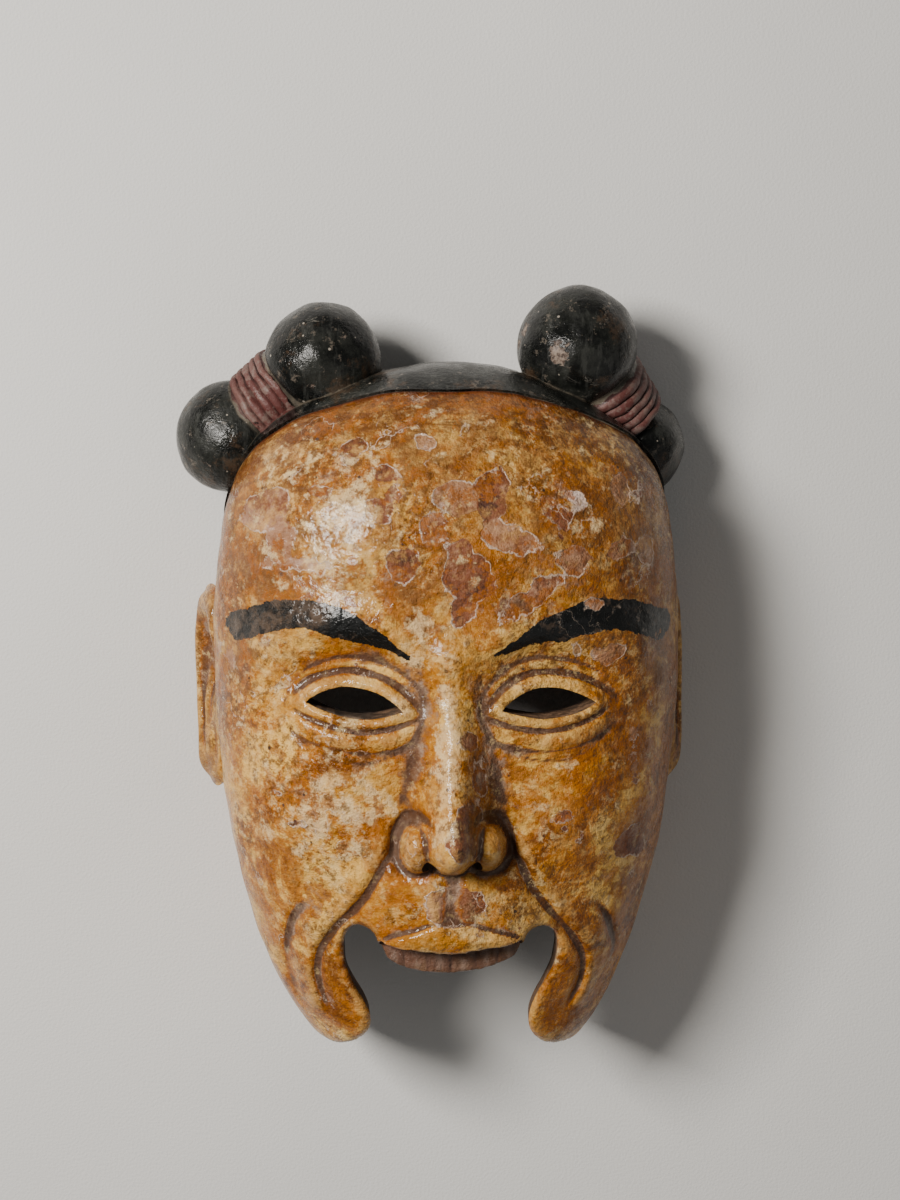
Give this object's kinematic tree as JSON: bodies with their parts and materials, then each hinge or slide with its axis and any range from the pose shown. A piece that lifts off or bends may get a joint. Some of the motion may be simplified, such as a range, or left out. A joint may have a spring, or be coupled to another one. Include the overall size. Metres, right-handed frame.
{
  "type": "nuo mask",
  "caption": "Hollow carved wooden theatre mask with open eye slots, long ears, bound double hair buns and an open place where the jaw is missing.",
  "frame": {"origin": "centre of the bounding box, at the height of the surface the mask lies on", "axes": "+Z out of the face, +Y towards the crown, +X to the right of someone who looks at the face"},
  "size_m": [0.1919, 0.2795, 0.1196],
  "materials": {
    "mask": "aged glossy lacquer, tan with brown stains, on carved wood"
  },
  "bodies": {
    "root": {"mask": "mask"}
  },
  "joints": []
}
